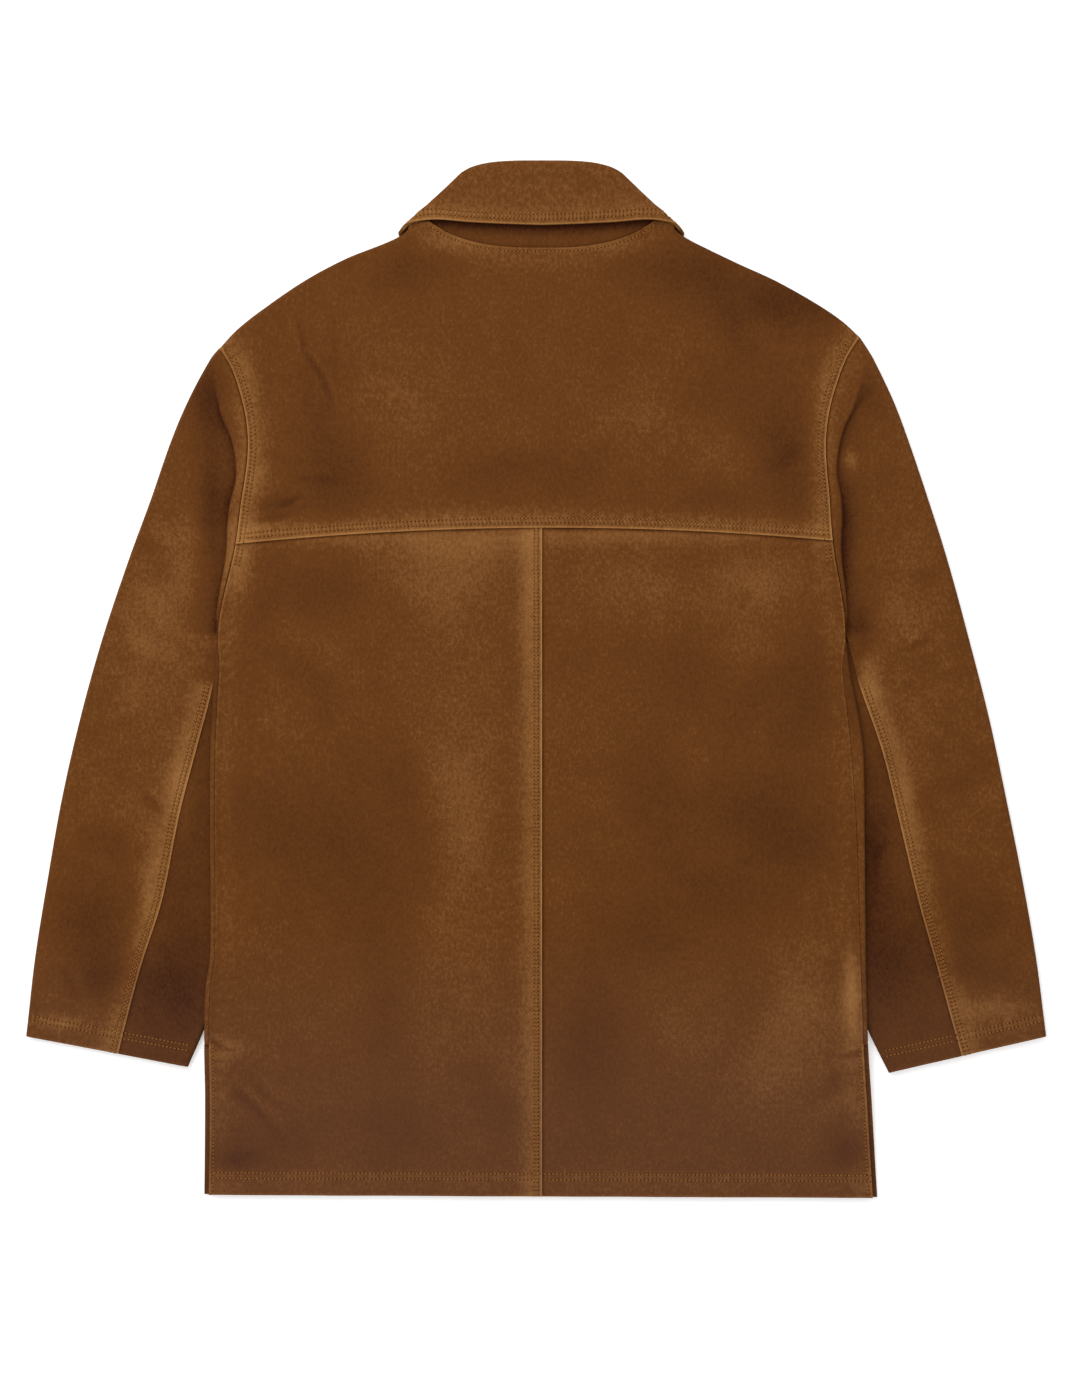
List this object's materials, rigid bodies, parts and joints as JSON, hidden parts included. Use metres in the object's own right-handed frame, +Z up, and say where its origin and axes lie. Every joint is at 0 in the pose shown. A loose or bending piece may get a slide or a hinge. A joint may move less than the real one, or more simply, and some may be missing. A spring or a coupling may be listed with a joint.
{
  "type": "suede jacket laid flat",
  "caption": "Suede overshirt jacket laid flat, face down: back yoke, two-panel back with side vents, two-piece sleeves and a turned-down collar.",
  "frame": {"origin": "centre of the underside, on the surface that the jacket lies on", "axes": "+Z up from the surface, +Y towards the collar, +X towards the wearer's right sleeve"},
  "size_m": [0.8375, 0.8505, 0.0134],
  "materials": {
    "suede": "matte brown suede with a soft nap"
  },
  "bodies": {
    "root": {"back_yoke": "suede", "back_left": "suede", "back_right": "suede", "front_left": "suede", "front_right": "suede", "sleeve_upper_left": "suede", "sleeve_upper_right": "suede", "sleeve_under_left": "suede", "sleeve_under_right": "suede", "collar_stand": "suede", "collar_fall": "suede"}
  },
  "joints": []
}
